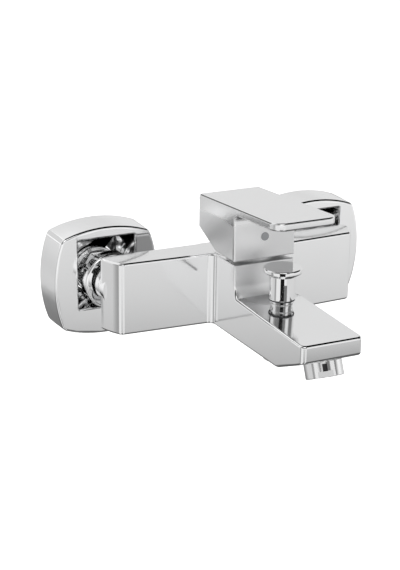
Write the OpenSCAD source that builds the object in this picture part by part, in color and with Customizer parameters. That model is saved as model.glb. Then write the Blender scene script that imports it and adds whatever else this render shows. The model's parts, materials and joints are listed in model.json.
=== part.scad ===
// Wall mounted single lever bath mixer with a pull-up diverter on its spout.
// X runs along the wall, the wall is the plane y = 0 with the mixer on its -Y side, and Z is up.
// The origin is midway between the two wall inlets. Distances out from the wall are positive values.

/* [Setting out] */
// Distance between the two wall inlets
inlet_spacing = 150; // [146:1:154]
// Rise of the union nuts above the wall inlets
union_rise = 5; // [4:0.5:6]
// Height of the body's middle above the wall inlets
body_z = 2; // [1:0.5:3]

/* [Escutcheons] */
// Distance between neighbouring corners of the square cup
cup_side = 60; // [58:1:62]
// How far each side bows out between its corners
cup_bow = 5.5; // [4:0.5:6]
// Depth of the cup from the wall to its face
cup_depth = 25.7; // [25:0.1:26]
// Wall thickness of the cup
cup_wall = 2; // [1.5:0.1:2.5]
// Width of the recess at the face
recess_w = 38.4; // [38:0.2:40]
// Top of the recess above the wall inlet
recess_top = 31; // [30:0.5:32]
// Bottom of the recess below the wall inlet
recess_low = 14; // [13.8:0.1:15]
// How much the recess narrows on each side towards the wall
recess_draft = 3.6; // [2:0.2:3.8]

/* [Inlets] */
// Outer radius of the wall thread, a half inch pipe thread
wall_thread_r = 10.48; // [10.2:0.01:10.6]
// Length of the wall thread
wall_thread_len = 18; // [14:1:24]
// Outer radius of the union thread, a three quarter inch pipe thread
union_thread_r = 13.1; // [13:0.01:13.2]
// Width of the union nut across its flats
nut_flats = 31; // [30.5:0.1:31]
// Length of the union nut
nut_len = 14.5; // [14:0.1:15]

/* [Body] */
// Height of the arms
body_h = 45.8; // [45:0.1:47]
// Distance from the wall to the back of the arms
arm_back = 42; // [41.5:0.5:43]
// Distance from the wall to the front of the arms at their ends
arm_front = 61.5; // [61:0.5:63]
// Distance from the wall to the front of the arms at the centre block
arm_front_mid = 64.6; // [64:0.2:66]
// Distance from the middle to the front corner of an arm
arm_reach = 81; // [79:0.5:83]
// Width of the centre block
block_w = 41; // [41:0.5:43]
// Distance from the wall to the front of the centre block
block_front = 92; // [90:0.5:94]

/* [Spout] */
// Width of the spout
spout_w = 41; // [38:0.5:41]
// Distance from the wall to the tip of the spout
spout_reach = 174; // [172:1:180]
// Height of the tip's front face
tip_h = 10.7; // [10:0.1:12]
// Slope of the underside near the tip, in degrees
tip_slope = 22.7; // [20:0.1:24]

/* [Lever] */
// Width of the lever
lever_w = 42; // [41:0.5:43]
// Distance from the wall to the lever's front edge
lever_reach = 142; // [130:1:150]
// Thickness of the lever's plate
plate_t = 4.9; // [4:0.1:6]
// How far the lever lifts from closed to full flow, in degrees
lift_angle = 23; // [20:1:23]

/* [Diverter] */
// Distance from the wall to the diverter's axis
diverter_y = 114.7; // [113:0.1:116]
// How far the knob pulls up
diverter_travel = 6.5; // [6:0.1:6.5]
// Radius of the knob's cap
cap_r = 11.7; // [10:0.1:12]
// Radius of the knob's barrel
barrel_r = 7.8; // [7:0.1:8]

/* [Outlets] */
// Outer radius of the shower thread, a half inch pipe thread
shower_thread_r = 10.48; // [10.2:0.01:10.6]
// Length of the shower thread
shower_thread_len = 8; // [7:0.5:12]
// Radius of the aerator's housing
aerator_r = 11.2; // [11:0.1:12]
// How far the aerator stands out of the spout
aerator_out = 9.3; // [8:0.1:10]
// Turn of the key slot in the aerator's rim away from the front
key_turn = 25; // [0:1:45]

/* [Hidden] */
$fn = 64;
SIDES = [-1, 1];
eps = 0.01;

inlet_x = inlet_spacing / 2;
body_top = body_z + body_h / 2;
body_low = body_z - body_h / 2;

// Square cup
cup_z = body_z + 1;
cup_c = cup_side / 2;
corner_trim = 5;
recess_floor = 3;
funnel_wall = 1.6;
cup_hole_r = 15.6;

// Union, along the distance from the wall
nut_back = 20;
nut_front = nut_back + nut_len;
nut_bore_r = union_thread_r + 0.08;
nut_lip = 3.4;
nut_lip_r = 9.8;
union_end = 26;
washer_t = 2;
washer_bore_r = 8;
nipple_flange = union_end + washer_t;
nipple_flange_t = nut_front - nut_lip - nipple_flange - 0.1;
nipple_flange_r = 12.7;
nipple_r = 9.4;
nipple_bore_r = 6.5;
nipple_end = 54;
boss_r = 13;
boss_back = 37.5;
union_bore_r = 7;

// Body plan: the arm's end leans out towards the wall
end_lean = 7.4;
end_bow = 1.1;
end_corner = 3;
fillet_r = 4.5;
spout_root_z = body_z + 2.9;
tip_top_z = body_z - 0.3;
tip_low_z = tip_top_z - tip_h;
bend_y = spout_reach - (tip_low_z - body_low) / tan(tip_slope);
bend_trim = 5;
flare_h = 7;
flare_out = 2.6;

// Waterways
chamber_y = 68;
chamber_r = 17.75;
chamber_floor = body_z - 9;
inlet_way_r = 7;
arm_way_r = 4.5;
arm_way_y = 53;
arm_way_z = body_z - 15;
port_x = 7.2;
port_y = 4.5;
port_r = 2.6;
mixed_y = 5.5;
mixed_r = 3.5;
mixed_z = body_z - 13;
slot_w = 14;
slot_h = 4.4;
slot_z = body_z - 3.4;

// Cartridge, heights from the chamber's floor up
base_h = 6;
disc_t = 3;
moving_disc_t = 3.4;
disc_gap = 0.05;
base_top = chamber_floor + base_h;
fixed_top = base_top + disc_t;
moving_top = fixed_top + disc_gap + moving_disc_t;
carrier_top = moving_top + 6.5;
turret_low = carrier_top + 0.5;
turret_shoulder = turret_low + 6;
housing_top = turret_shoulder + 2;
turret_top = body_top + 1;
pivot_z = turret_shoulder - 0.5;
pivot_r = 1.5;
ball_z = pivot_z - 8.2;
ball_r = 2.95;
stem_w = 8;
stem_top = body_z + 42;
housing_r = 17.6;
housing_bore_r = 15.9;
lip_r = 12.7;
turret_r = 15.6;
turret_neck_r = 12.3;
fixed_disc_r = 13.6;
moving_disc_r = 11;
disc_offset = 1.85;
lock_thread_r = 19;
lock_h = 4;

// Lever
lever_back = 45;
lever_low = body_top + 2.3;
lever_back_z = body_z + 56.3;
lever_front_z = body_z + 62.3;
lever_cut_z = lever_low + (chamber_y - lever_back) * tan(lift_angle + 0.5);
lever_wall = 3.2;
lever_corner = 5;
socket_w = 16;
index_z = body_z + 39;
index_r = 2.6;
screw_r = 2.4;

// Diverter, heights from the spout's top at its axis
spout_drop = (spout_root_z - tip_top_z) / (spout_reach - block_front);
diverter_top = spout_root_z - (diverter_y - block_front) * spout_drop;
neck_h = 4.3;
neck_r = 6.5;
barrel_low = diverter_top + neck_h + 0.3;
barrel_h = 15;
cap_h = 5;
bush_r = 6.2;
bush_depth = 3;
diverter_bore_r = 9.3;
plunger_r = 8.4;
shower_seat = body_low + 5;
plunger_t = 2.1;
rubber_t = 1.2;
plunger_low = shower_seat + rubber_t;
plunger_top = plunger_low + plunger_t;
upper_seat = plunger_top + rubber_t + diverter_travel + eps;
stem_r = 2;
stem_thread_h = 3;
spring_r = 3.5;
spring_wire_r = 0.4;
spring_turns = 5;

// Aerator, on the sloping underside
aerator_y = 163;
aerator_z = tip_low_z - (spout_reach - aerator_y) * tan(tip_slope);
aerator_thread_r = 10.1;
aerator_thread_h = 6;
aerator_bore_r = 8.8;

// ---- Helpers ----

// Points of a curve from a to b that is pulled towards c, for a rounded corner or a fillet
function soft(a, c, b, n = 6) =
    [for (i = [0:n]) let(t = i / n) (1 - t) * (1 - t) * a + 2 * t * (1 - t) * c + t * t * b];

// Points of a circular arc from p to q that rises to the right of the way from p to q
function bow(p, q, rise, t0 = 0, t1 = 1, n = 10) =
    let(way = q - p, len = norm(way), along = way / len, out = [along[1], -along[0]],
        half = 2 * atan(2 * rise / len), r = len / 2 / sin(half))
    [for (i = [0:n]) let(a = half * (2 * (t0 + (t1 - t0) * i / n) - 1))
        (p + q) / 2 + along * r * sin(a) + out * (r * cos(a) - r * cos(half))];

function flip(points) = [for (i = [len(points) - 1:-1:0]) [-points[i][0], points[i][1]]];

// A point that lies at a distance from p on the way to q
function step_to(p, q, distance) = p + (q - p) / norm(q - p) * distance;

// A round bar, or with r_in a tube, along the distance from the wall
module along_y(r, from, to, r_in = 0) {
    translate([0, -from, 0]) rotate([90, 0, 0]) difference() {
        cylinder(r = r, h = to - from);
        if (r_in > 0) translate([0, 0, -1]) cylinder(r = r_in, h = to - from + 2);
    }
}

// A round bar, or with r_in a tube, standing up
module upright(r, from, to, r_in = 0) {
    translate([0, 0, from]) difference() {
        cylinder(r = r, h = to - from);
        if (r_in > 0) translate([0, 0, -1]) cylinder(r = r_in, h = to - from + 2);
    }
}

// An outline in the plane of Y and Z, drawn across the middle at a width
module across(width) {
    translate([-width / 2, 0, 0]) rotate([90, 0, 90]) linear_extrude(width) children();
}

module on_cartridge() { translate([0, -chamber_y, 0]) children(); }
module on_diverter() { translate([0, -diverter_y, 0]) children(); }
module on_aerator() {
    translate([0, -aerator_y, aerator_z]) rotate([-tip_slope, 0, 0]) children();
}

// ---- Escutcheons ----

// Square with sides that bow out and rounded corners, in the plane of X and Z
module cup_outline(inset = 0) {
    c = cup_c - inset;
    trim = corner_trim / cup_side;
    corners = [[-c, -c], [c, -c], [c, c], [-c, c]];
    sides = [for (k = [0:3]) bow(corners[k], corners[(k + 1) % 4], cup_bow, trim, 1 - trim)];
    polygon([for (k = [0:3]) each concat(
        sides[k],
        soft(sides[k][10], step_to(corners[(k + 1) % 4], [0, 0], -1.2), sides[(k + 1) % 4][0], 4)
    )]);
}

// Drafted space of the recess; grow makes its walls
module funnel(grow, from, to) {
    wide = recess_w / 2 + grow;
    top = recess_top + grow;
    low = -recess_low - grow;
    slope = recess_draft / cup_depth;
    a = slope * (cup_depth - from);
    b = slope * (cup_depth - to);
    intersection() {
        translate([0, 0, -100]) linear_extrude(200)
            polygon([[-wide + a, -from], [wide - a, -from], [wide - b, -to], [-wide + b, -to]]);
        across(100)
            polygon([[-from, low + a], [-from, top - a], [-to, top - b], [-to, low + b]]);
    }
}

module escutcheon(side) {
    translate([side * inlet_x, 0, 0]) color("gainsboro") difference() {
        translate([0, 0, cup_z]) rotate([90, 0, 0]) linear_extrude(cup_depth) cup_outline();
        difference() {
            translate([0, 1, cup_z]) rotate([90, 0, 0])
                linear_extrude(cup_depth - cup_wall + 1) cup_outline(cup_wall);
            funnel(funnel_wall, recess_floor - cup_wall, cup_depth);
        }
        funnel(0, recess_floor, cup_depth + eps);
        translate([0, 0, union_rise]) along_y(cup_hole_r, -1, recess_floor + 1);
    }
}

// ---- Inlet unions ----

module eccentric_union(side) {
    translate([side * inlet_x, 0, 0]) color("silver") difference() {
        union() {
            along_y(wall_thread_r, -wall_thread_len, 0);
            translate([0, 0, union_rise]) along_y(cup_hole_r - 0.6, 0, 8);
            translate([0, 0, union_rise]) along_y(union_thread_r, 7, union_end);
        }
        along_y(union_bore_r, -wall_thread_len - 1, 9);
        translate([0, 0, union_rise]) along_y(union_bore_r + 1.5, 8, union_end + 1);
    }
}

module union_nut(side) {
    corner_r = nut_flats / 2 / cos(30);
    translate([side * inlet_x, 0, union_rise]) color("silver") difference() {
        intersection() {
            translate([0, -nut_back, 0]) rotate([90, 0, 0]) cylinder(r = corner_r, h = nut_len, $fn = 6);
            union() {
                along_y(corner_r - 0.2, nut_back, nut_front - 3);
                translate([0, -nut_front + 3, 0]) rotate([90, 0, 0])
                    cylinder(r1 = corner_r - 0.2, r2 = corner_r - 3.2, h = 3);
            }
        }
        along_y(nut_bore_r, nut_back - 1, nut_front - nut_lip);
        along_y(nut_lip_r, nut_back, nut_front + 1);
    }
}

module inlet_nipple(side) {
    translate([side * inlet_x, 0, union_rise]) color("silver") difference() {
        union() {
            along_y(nipple_flange_r, nipple_flange, nipple_flange + nipple_flange_t);
            along_y(nipple_r, nipple_flange, nipple_end);
        }
        along_y(nipple_bore_r, nipple_flange - 1, nipple_end + 1);
    }
}

module sealing_washer(side) {
    translate([side * inlet_x, 0, union_rise]) color("dimgray")
        along_y(nipple_flange_r - 0.2, union_end, nipple_flange, washer_bore_r);
}

module filter_screen(side) {
    hole_r = 0.7;
    translate([side * inlet_x, 0, union_rise]) color("lightgray") difference() {
        along_y(washer_bore_r - 0.05, union_end + 0.6, union_end + 1.2);
        for (ring = [0:3], k = [0:max(ring * 6 - 1, 0)]) {
            angle = ring == 0 ? 0 : k * 60 / ring;
            rotate([0, angle, 0]) translate([ring * 2, 0, 0])
                along_y(hole_r, union_end, union_end + 2);
        }
    }
}

// ---- Body ----

// Right half of the plan of the arms and the centre block, from the back to the front
function half_plan() =
    let(back = [arm_reach + end_lean, -arm_back],
        front = [arm_reach, -arm_front],
        root = [block_w / 2, -arm_front_mid],
        end = bow(back, front, -end_bow, end_corner / norm(front - back), 1))
    concat(
        [[0, -arm_back]],
        soft(back - [end_corner, 0], back, end[0], 4),
        end,
        soft(step_to(root, front, fillet_r), root, root - [0, fillet_r]),
        [[block_w / 2, -block_front]]
    );

module spout_profile() {
    bend = [-bend_y, body_low];
    tip = [-spout_reach, tip_low_z];
    polygon(concat(
        [[-chamber_y, body_low], [-chamber_y, spout_root_z + flare_h], [-block_front, spout_root_z + flare_h]],
        soft([-block_front, spout_root_z + flare_h], [-block_front - 0.3, spout_root_z + 3.2],
             [-block_front - flare_out, spout_root_z - flare_out * spout_drop]),
        [[-spout_reach, tip_top_z], tip],
        soft(step_to(bend, tip, bend_trim), bend, bend + [bend_trim, 0])
    ));
}

module body_solid() {
    half = half_plan();
    translate([0, 0, body_low]) linear_extrude(body_h) polygon(concat(half, flip(half)));
    across(spout_w) spout_profile();
    for (side = SIDES) translate([side * inlet_x, 0, union_rise]) along_y(boss_r, boss_back, arm_back + 1);
}

// Hot and cold ways: in at the nipple, down, along the arm and up to the cartridge
module inlet_ways() {
    for (side = SIDES) {
        translate([side * inlet_x, 0, union_rise]) {
            along_y(nipple_r, boss_back - 1, nipple_end);
            along_y(inlet_way_r, boss_back, nipple_end + 3);
        }
        translate([side * inlet_x, -arm_way_y, 0]) upright(arm_way_r, arm_way_z, union_rise);
        translate([side * inlet_x, -arm_way_y, arm_way_z]) rotate([0, -side * 90, 0])
            cylinder(r = arm_way_r, h = inlet_x - port_x);
        translate([side * port_x, 0, arm_way_z]) along_y(port_r, arm_way_y, chamber_y + port_y);
        translate([side * port_x, -chamber_y - port_y, 0]) upright(port_r, arm_way_z, chamber_floor + 1);
    }
}

// Mixed water: down from the cartridge, forward to the diverter and on to the aerator
module outlet_ways() {
    translate([0, -chamber_y + mixed_y, 0]) upright(mixed_r, mixed_z, chamber_floor + 1);
    translate([0, 0, mixed_z]) along_y(mixed_r, chamber_y - mixed_y, diverter_y);
    translate([-slot_w / 2, -aerator_y + 4, slot_z - slot_h / 2])
        cube([slot_w, aerator_y - 4 - diverter_y, slot_h]);
    on_aerator() {
        upright(aerator_thread_r + 0.05, -1, 8);
        upright(5, 7, 12);
    }
    on_diverter() {
        upright(diverter_bore_r, body_low - 1, upper_seat);
        upright(bush_r, upper_seat - 1, diverter_top + 2);
    }
}

module valve_body() {
    color("gainsboro") difference() {
        body_solid();
        on_cartridge() {
            upright(chamber_r, chamber_floor, body_top + 1);
            upright(lock_thread_r, housing_top - 1, body_top + 1);
        }
        inlet_ways();
        outlet_ways();
    }
}

// ---- Cartridge ----

// The two inlet ports and the mixed port, for cutting
module ports(from, to, grow = 0) {
    for (side = SIDES) translate([side * port_x, -port_y, 0]) upright(port_r + grow, from, to);
    translate([0, mixed_y, 0]) upright(mixed_r + grow, from, to);
}

module cartridge_base() {
    color("white") on_cartridge() difference() {
        union() {
            upright(housing_r, chamber_floor, base_top - 2);
            upright(housing_bore_r, base_top - 2, base_top);
        }
        ports(chamber_floor - 1, base_top + 1);
        ports(chamber_floor - 1, chamber_floor + 1.4, 1.3);
    }
}

module cartridge_port_seals() {
    color("dimgray") on_cartridge() difference() {
        ports(chamber_floor, chamber_floor + 1.4, 1.3);
        ports(chamber_floor - 1, chamber_floor + 2, 0.1);
    }
}

module fixed_ceramic_disc() {
    color("white") on_cartridge() difference() {
        upright(fixed_disc_r, base_top, fixed_top);
        ports(base_top - 1, fixed_top + 1);
    }
}

// The pocket under this disc joins the inlets to the mixed port as it slides forward
module moving_ceramic_disc() {
    pocket_top = fixed_top + 2;
    color("ivory") on_cartridge() difference() {
        translate([0, disc_offset, 0]) upright(moving_disc_r, fixed_top + disc_gap, moving_top);
        translate([0, 4.5, 0]) upright(4.2, fixed_top - 1, pocket_top);
        for (side = SIDES) translate([side * 5.6, 2.7, 0]) upright(2.6, fixed_top - 1, pocket_top);
    }
}

module disc_carrier() {
    color("ivory") on_cartridge() difference() {
        translate([0, disc_offset, 0]) upright(moving_disc_r, moving_top, carrier_top);
        upright(ball_r + 0.2, moving_top + 0.8, carrier_top + 1);
    }
}

module cartridge_housing() {
    color("whitesmoke") on_cartridge() difference() {
        upright(housing_r, base_top - 2, housing_top);
        upright(housing_bore_r, base_top - 3, turret_shoulder + 0.1);
        upright(lip_r, turret_shoulder, housing_top + 1);
    }
}

// Turns in the housing and carries the stem's pivot pin
module cartridge_turret() {
    slot = stem_w + 0.8;
    color("lightgray") on_cartridge() difference() {
        union() {
            upright(turret_r, turret_low, turret_shoulder);
            upright(turret_neck_r, turret_low, turret_top);
        }
        translate([-slot / 2, -stem_w / 2 - 0.8, pivot_z - 3]) cube([slot, 13.4, turret_top]);
        translate([-slot / 2, -9, turret_low - 1]) cube([slot, 14, pivot_z - turret_low]);
        translate([-8, 0, pivot_z]) rotate([0, 90, 0]) cylinder(r = pivot_r, h = 16);
    }
}

module stem_pivot_pin() {
    color("silver") on_cartridge() translate([-8, 0, pivot_z]) rotate([0, 90, 0])
        cylinder(r = pivot_r, h = 16);
}

module cartridge_stem() {
    color("silver") on_cartridge() difference() {
        union() {
            translate([-stem_w / 2, -stem_w / 2, pivot_z - 2.5])
                cube([stem_w, stem_w, stem_top - pivot_z + 2.5]);
            upright(2.2, ball_z, pivot_z - 2);
            translate([0, 0, ball_z]) sphere(r = ball_r);
        }
        translate([-10, 0, pivot_z]) rotate([0, 90, 0]) cylinder(r = pivot_r + 0.06, h = 20);
    }
}

module cartridge_lock_nut() {
    color("goldenrod") on_cartridge() difference() {
        upright(lock_thread_r - 0.05, housing_top, housing_top + lock_h, 14.5);
        for (k = [0:3]) rotate(k * 90) translate([0, 17.2, housing_top + lock_h - 2])
            translate([-1.5, -3.4, 0]) cube([3, 6, 3]);
    }
}

module cover_ring() {
    color("gainsboro") on_cartridge() rotate_extrude()
        polygon([[13.2, body_top + 0.4], [15.2, body_top], [20.1, body_top],
                 [20.1, body_top + 0.7], [19.7, body_top + 1.1], [13.2, body_top + 1.1]]);
}

// ---- Lever ----

function plate_z(y) = lever_back_z + (lever_front_z - lever_back_z) * (y - lever_back) / (lever_reach - lever_back);

module lever_profile() {
    under = plate_z(block_front) - plate_t;
    polygon(concat(
        [[-lever_back, lever_back_z], [-lever_back, lever_cut_z],
         [-chamber_y, lever_low], [-block_front, lever_low]],
        soft([-block_front, under - 4], [-block_front, under], [-block_front - 4, plate_z(block_front + 4) - plate_t]),
        [[-lever_reach, lever_front_z - plate_t], [-lever_reach, lever_front_z]]
    ));
}

module lever_plan() {
    w = lever_w / 2;
    half = concat(
        [[0, -lever_back], [w, -lever_back]],
        soft([w, -lever_reach + lever_corner], [w, -lever_reach], [w - lever_corner, -lever_reach])
    );
    polygon(concat(half, flip(half)));
}

module lever_handle() {
    inner_w = lever_w - 2 * lever_wall;
    socket = stem_w + 0.1;
    roof = body_z + 47;
    color("gainsboro") difference() {
        intersection() {
            across(lever_w) lever_profile();
            translate([0, 0, body_z]) linear_extrude(100) lever_plan();
        }
        difference() {
            translate([-inner_w / 2, -block_front + lever_wall, lever_low - 1])
                cube([inner_w, block_front - lever_back - 2 * lever_wall, roof - lever_low + 1]);
            on_cartridge() translate([-socket_w / 2, -socket_w / 2, body_z + 31])
                cube([socket_w, socket_w, 20]);
            translate([-4.5, -block_front, index_z - 4.5]) cube([9, block_front - chamber_y, 9]);
        }
        on_cartridge() translate([-socket / 2, -socket / 2, body_z + 20])
            cube([socket, socket, stem_top - body_z - 20 + 0.1]);
        translate([0, 0, index_z]) {
            along_y(screw_r, chamber_y, block_front + 1);
            along_y(index_r, block_front - 4, block_front + 1);
        }
    }
}

module lever_set_screw() {
    front = chamber_y + stem_w / 2 + 8;
    color("dimgray") translate([0, 0, index_z]) difference() {
        along_y(screw_r, chamber_y + stem_w / 2, front);
        translate([0, -front + 2.5, 0]) rotate([90, 0, 0]) cylinder(r = 1.44, h = 3, $fn = 6);
    }
}

module index_plug() {
    color("gray") translate([0, 0, index_z]) along_y(index_r, block_front - 4, block_front + 0.3);
}

// ---- Diverter ----

module diverter_knob() {
    low = barrel_low;
    top = low + barrel_h + cap_h;
    color("gainsboro") on_diverter() rotate_extrude() polygon([
        [stem_r, top - 4], [0, top - 4], [0, top],
        [cap_r - 0.6, top], [cap_r, top - 0.6], [cap_r, top - 2.6],
        [cap_r - 2, low + barrel_h + 0.8], [barrel_r, low + barrel_h],
        [barrel_r, low + 0.6], [barrel_r - 0.6, low], [5.4, low], [5.4, top - 7], [stem_r, top - 7]
    ]);
}

module diverter_stem() {
    color("silver") on_diverter() upright(stem_r, plunger_low - stem_thread_h / 3, barrel_low + barrel_h + cap_h - 4);
}

// Screws into the spout's top and guides the stem
module diverter_bushing() {
    top = diverter_top + neck_h;
    color("gainsboro") on_diverter() difference() {
        union() {
            upright(bush_r, diverter_top - bush_depth, diverter_top + 0.5);
            upright(neck_r, diverter_top + 0.25, top);
            upright(neck_r + 0.5, diverter_top + 1.7, diverter_top + 2.5);
        }
        upright(stem_r + 0.05, diverter_top - bush_depth - 1, top + 1);
        upright(stem_r + 1.4, diverter_top - 1, diverter_top + 0.5);
    }
}

module diverter_stem_seal() {
    color("dimgray") on_diverter() upright(stem_r + 1.4, diverter_top - 1, diverter_top + 0.5, stem_r + 0.05);
}

// Closed coil swept along the stem between the plunger's washer and the bushing
module diverter_spring() {
    low = plunger_top + rubber_t + spring_wire_r + 0.1;
    high = diverter_top - bush_depth - spring_wire_r - 0.1;
    sides = 8;
    steps = spring_turns * 16;
    ring = [for (i = [0:steps], k = [0:sides - 1])
        let(a = i * 360 / 16, b = k * 360 / sides, r = spring_r + spring_wire_r * cos(b))
        [r * cos(a), r * sin(a), low + (high - low) * i / steps + spring_wire_r * sin(b)]];
    walls = [for (i = [0:steps - 1], k = [0:sides - 1])
        let(p = i * sides, n = (k + 1) % sides)
        [p + k, p + sides + k, p + sides + n, p + n]];
    caps = [[for (k = [0:sides - 1]) k], [for (k = [sides - 1:-1:0]) steps * sides + k]];
    color("silver") on_diverter() polyhedron(ring, concat(walls, caps), 4);
}

module diverter_plunger() {
    color("ivory") on_diverter() upright(plunger_r, plunger_low, plunger_top, stem_r);
}

module diverter_washers() {
    color("dimgray") on_diverter() {
        upright(plunger_r, shower_seat, plunger_low, stem_r);
        upright(plunger_r, plunger_top, plunger_top + rubber_t, stem_r);
    }
}

// ---- Outlets ----

module shower_outlet_nipple() {
    color("gainsboro") on_diverter() difference() {
        union() {
            upright(diverter_bore_r - 0.05, body_low, shower_seat - eps);
            upright(shower_thread_r, body_low - shower_thread_len, body_low);
        }
        upright(6.5, body_low - shower_thread_len - 1, shower_seat + 1);
        difference() {
            upright(diverter_bore_r + 1, body_low + 1, body_low + 2.6);
            upright(diverter_bore_r - 1.4, body_low, body_low + 3);
        }
    }
}

module shower_outlet_seal() {
    color("dimgray") on_diverter() upright(diverter_bore_r - 0.05, body_low + 1, body_low + 2.6, diverter_bore_r - 1.4);
}

module aerator_housing() {
    notch_y = -aerator_r - 1;
    color("gainsboro") on_aerator() difference() {
        union() {
            upright(aerator_r, -aerator_out, -0.1);
            upright(aerator_thread_r, -1, aerator_thread_h);
        }
        upright(aerator_bore_r, -aerator_out + 1.4, aerator_thread_h + 1);
        upright(aerator_bore_r - 1.2, -aerator_out - 1, 0);
        rotate([0, 0, -key_turn]) {
            translate([-4.9, notch_y, -aerator_out + 0.4]) cube([9.8, 1.9, 3.3]);
            translate([-1.4, notch_y, -aerator_out + 3.5]) cube([2.8, 2.6, 4.4]);
        }
    }
}

module aerator_insert() {
    ribs = 8;
    low = -aerator_out + 1.4;
    color("dimgray") on_aerator() {
        upright(aerator_bore_r - 0.05, low, 3, aerator_bore_r - 1.4);
        difference() {
            upright(aerator_bore_r - 1, low + 1, low + 2.6);
            for (k = [0:ribs - 1]) rotate(k * 360 / ribs) translate([5.2, 0, 0]) upright(1.5, low, low + 4);
            for (k = [0:ribs / 2 - 1]) rotate(k * 720 / ribs) translate([2.2, 0, 0]) upright(0.9, low, low + 4);
        }
    }
}

module aerator_screen() {
    color("silver") on_aerator() difference() {
        upright(aerator_bore_r - 0.05, 3, 3.6);
        for (ring = [0:3], k = [0:max(ring * 6 - 1, 0)]) rotate(ring == 0 ? 0 : k * 60 / ring)
            translate([ring * 2.1, 0, 0]) upright(0.75, 2, 5);
    }
}

module aerator_gasket() {
    color("dimgray") on_aerator() upright(aerator_thread_r - 0.2, aerator_thread_h, 7.8, 6.6);
}

// ---- Nodes ----

valve_body();
escutcheon(-1);  // left_escutcheon
escutcheon(1);  // right_escutcheon
eccentric_union(-1);  // left_eccentric_union
eccentric_union(1);  // right_eccentric_union
union_nut(-1);  // left_union_nut
union_nut(1);  // right_union_nut
inlet_nipple(-1);  // left_inlet_nipple
inlet_nipple(1);  // right_inlet_nipple
sealing_washer(-1);  // left_sealing_washer
sealing_washer(1);  // right_sealing_washer
filter_screen(-1);  // left_filter_screen
filter_screen(1);  // right_filter_screen
cartridge_housing();
cartridge_base();
cartridge_port_seals();
fixed_ceramic_disc();
moving_ceramic_disc();
disc_carrier();
cartridge_turret();
stem_pivot_pin();
cartridge_stem();
cartridge_lock_nut();
cover_ring();
lever_handle();
lever_set_screw();
index_plug();
diverter_knob();
diverter_stem();
diverter_bushing();
diverter_stem_seal();
diverter_spring();
diverter_plunger();
diverter_washers();
shower_outlet_nipple();
shower_outlet_seal();
aerator_housing();
aerator_insert();
aerator_screen();
aerator_gasket();
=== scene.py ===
"""Wall mounted bath mixer: finished shells, materials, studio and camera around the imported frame.

Sizes in this script are millimetres in the frame of the CAD model, and mesh() turns them into metres.
X runs along the wall, the wall is the plane y = 0 with the mixer on its -Y side, and Z is up.
"""
import json
import math

import bmesh
import bpy
from mathutils import Matrix, Vector


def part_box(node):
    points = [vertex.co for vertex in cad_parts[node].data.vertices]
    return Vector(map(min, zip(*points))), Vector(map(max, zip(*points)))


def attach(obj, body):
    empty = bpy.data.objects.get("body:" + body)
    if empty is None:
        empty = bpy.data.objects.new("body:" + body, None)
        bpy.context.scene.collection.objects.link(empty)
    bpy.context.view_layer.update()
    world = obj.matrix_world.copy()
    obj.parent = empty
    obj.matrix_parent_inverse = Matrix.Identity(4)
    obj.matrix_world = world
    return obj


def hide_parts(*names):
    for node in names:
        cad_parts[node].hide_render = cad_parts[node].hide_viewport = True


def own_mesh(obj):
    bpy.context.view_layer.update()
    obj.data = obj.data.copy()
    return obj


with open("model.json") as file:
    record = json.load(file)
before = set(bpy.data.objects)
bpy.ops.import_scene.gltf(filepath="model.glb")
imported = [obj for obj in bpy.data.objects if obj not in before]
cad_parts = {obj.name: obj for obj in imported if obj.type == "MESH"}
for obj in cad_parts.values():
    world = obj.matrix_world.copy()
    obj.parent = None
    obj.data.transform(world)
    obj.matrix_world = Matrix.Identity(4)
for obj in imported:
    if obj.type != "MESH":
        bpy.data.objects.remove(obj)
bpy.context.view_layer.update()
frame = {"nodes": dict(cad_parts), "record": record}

MM = 0.001
CREASE = math.radians(20)     # faces that meet at more than this keep a sharp edge
ONE_FACE = math.radians(1)    # faces that meet at less than this are shaded as one
TURN_STEPS = 96
SOFT_STEPS = 8
EDGE_STEPS = 6
CROWN_BANDS = 12
PAST = 1.0                    # a cutter reaches this far past the face that it opens


def node_box(node):
    """Lowest and highest corner of a CAD node, in millimetres."""
    low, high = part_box(node)
    return low / MM, high / MM


def node_heights(node):
    """Lowest and highest Z of a CAD node, in millimetres."""
    low, high = node_box(node)
    return low.z, high.z


def into_scene(obj):
    """Links an object to the scene and hands it back."""
    bpy.context.scene.collection.objects.link(obj)
    return obj


# ---- Outlines ----

def soft(a, c, b):
    """Curve from a to b that is pulled towards c."""
    a, c, b = Vector(a), Vector(c), Vector(b)
    shares = [i / SOFT_STEPS for i in range(SOFT_STEPS + 1)]
    return [(1 - t) ** 2 * a + 2 * t * (1 - t) * c + t * t * b for t in shares]


def bow(p, q, rise, n=10):
    """Arc from p to q that rises to the right of the way from p to q."""
    p, q = Vector(p), Vector(q)
    along = (q - p).normalized()
    out = Vector((along.y, -along.x))
    half = 2 * math.atan(2 * rise / (q - p).length)
    radius = (q - p).length / 2 / math.sin(half)
    angles = [half * (2 * i / n - 1) for i in range(n + 1)]
    middle = (p + q) / 2
    return [middle + along * radius * math.sin(a) + out * radius * (math.cos(a) - math.cos(half))
            for a in angles]


def rounded(corners, n=6):
    """Outline through corners (x, y, radius, edge), each rounded by an arc.

    edge is the radius that slab() gives the outline's edge there. Returns points and their edges.
    """
    points, edges = [], []
    for i, (x, y, radius, edge) in enumerate(corners):
        c = Vector((x, y))
        if radius == 0:
            points.append(c)
            edges.append(edge)
            continue
        a = (Vector(corners[i - 1][:2]) - c).normalized()
        b = (Vector(corners[(i + 1) % len(corners)][:2]) - c).normalized()
        half = a.angle(b) / 2
        centre = c + (a + b).normalized() * radius / math.sin(half)
        u = c + a * radius / math.tan(half) - centre
        v = c + b * radius / math.tan(half) - centre
        sweep = u.angle(v)
        for k in range(n + 1):
            t = k / n
            arm = u * math.sin((1 - t) * sweep) + v * math.sin(t * sweep)
            points.append(centre + arm / math.sin(sweep))
            edges.append(edge)
    return points, edges


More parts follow.
